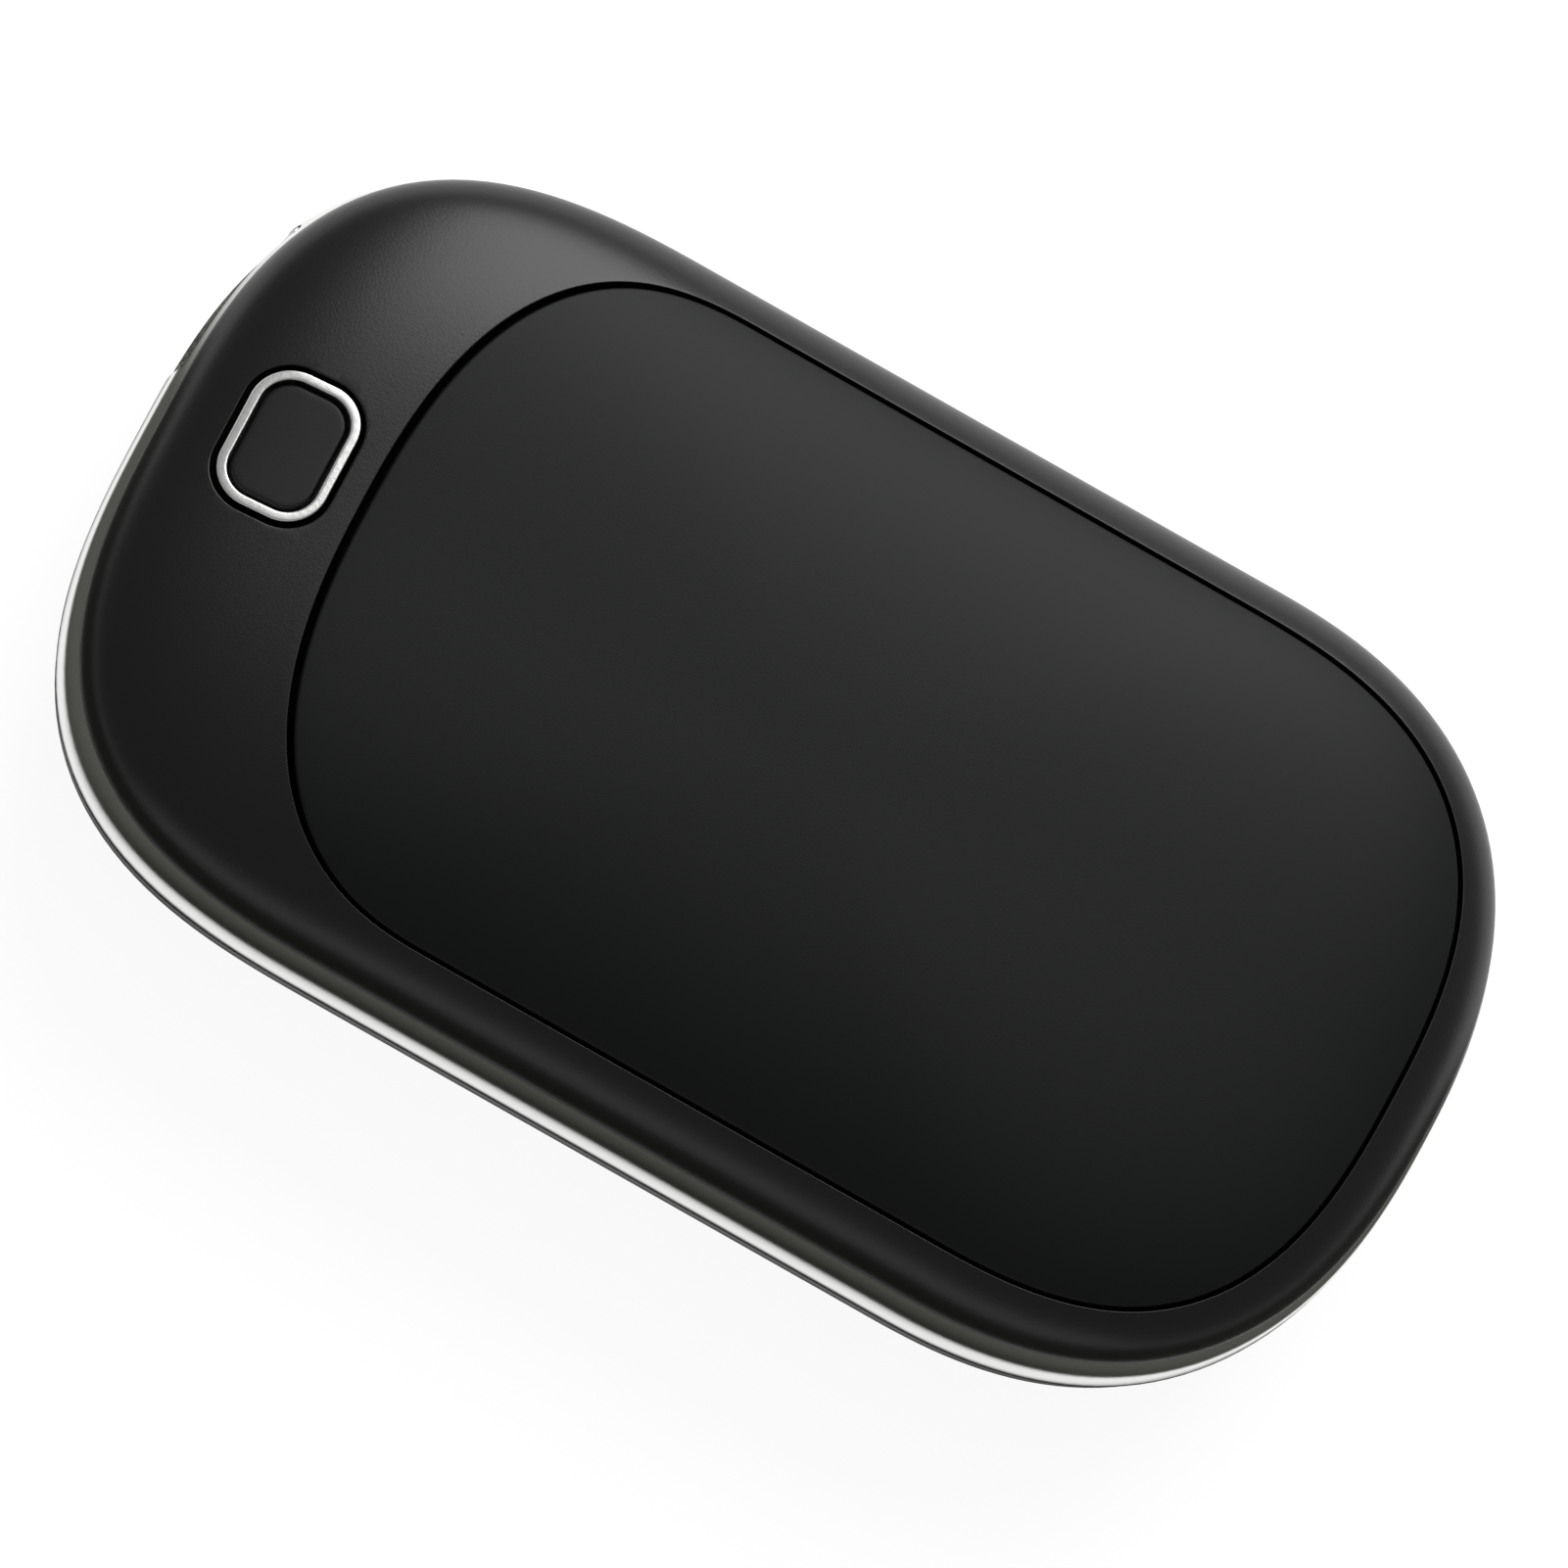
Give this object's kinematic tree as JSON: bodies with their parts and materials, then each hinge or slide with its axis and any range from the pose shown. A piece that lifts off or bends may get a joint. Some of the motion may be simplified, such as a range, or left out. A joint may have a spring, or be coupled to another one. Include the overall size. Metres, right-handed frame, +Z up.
{
  "type": "hand warmer",
  "caption": "Pocket hand warmer with a crowned pebble body, an inset heat plate on each broad face, a chrome waist band and a ringed push button at one end.",
  "frame": {"origin": "under the middle of the body, on the flat of the lower heat plate that it rests on", "axes": "+X along the body away from the button, +Y across it to the outlet port's side, +Z up through the face with the button"},
  "size_m": [0.1042, 0.0594, 0.026],
  "materials": {
    "shell_black": "soft satin",
    "band_chrome": "polished plating",
    "plate_black": "satin black anodised",
    "tape_grey": "matt",
    "film_amber": "translucent amber film over copper track",
    "foam_grey": "open cell foam",
    "ring_chrome": "bright polished",
    "key_black": "satin",
    "switch_black": "satin",
    "plunger_cream": "satin",
    "board_green": "solder resist",
    "port_steel": "tin plated",
    "tongue_black": "matt",
    "tongue_white": "matt",
    "contact_gold": "gold flash",
    "chip_black": "matt moulding",
    "ferrite_grey": "sintered",
    "can_silver": "satin",
    "lamp_cream": "clear resin",
    "cell_wrap": "wrapped in shrink film",
    "sleeve_blue": "shrink film",
    "strip_nickel": "nickel",
    "wire_red": "silicone",
    "wire_black": "silicone",
    "wire_white": "silicone",
    "screw_steel": "zinc plated"
  },
  "bodies": {
    "housing": {"upper_shell": "shell_black", "lower_shell": "shell_black", "waist_band": "band_chrome", "upper_heat_plate": "plate_black", "lower_heat_plate": "plate_black", "upper_plate_tape": "tape_grey", "lower_plate_tape": "tape_grey", "upper_heater_film": "film_amber", "lower_heater_film": "film_amber", "upper_foam_pad": "foam_grey", "lower_foam_pad": "foam_grey", "button_ring": "ring_chrome", "tact_switch": "switch_black", "main_circuit_board": "board_green", "charge_port_shell": "port_steel", "charge_port_tongue": "tongue_black", "outlet_port_shell": "port_steel", "outlet_port_tongue": "tongue_white", "outlet_port_contacts": "contact_gold", "controller_chip": "chip_black", "boost_inductor": "ferrite_grey", "board_capacitors": "can_silver", "heater_transistors": "chip_black", "status_leds": "lamp_cream", "battery_cell_left": "cell_wrap", "battery_cell_right": "cell_wrap", "battery_sleeve": "sleeve_blue", "front_cell_strip": "strip_nickel", "rear_cell_strip": "strip_nickel", "battery_lead_positive": "wire_red", "battery_lead_negative": "wire_black", "upper_heater_leads": "wire_white", "lower_heater_leads": "wire_white", "heater_thermistors": "wire_black", "shell_screws": "screw_steel", "board_screws": "screw_steel"},
    "button": {"power_button": "key_black", "switch_plunger": "plunger_cream"}
  },
  "joints": [
    {"name": "button_press", "type": "slide", "parent": "housing", "child": "button", "axis": [0, 0, -1], "range_m": [0, 0.0004], "stiffness_N_per_m": 2000}
  ]
}
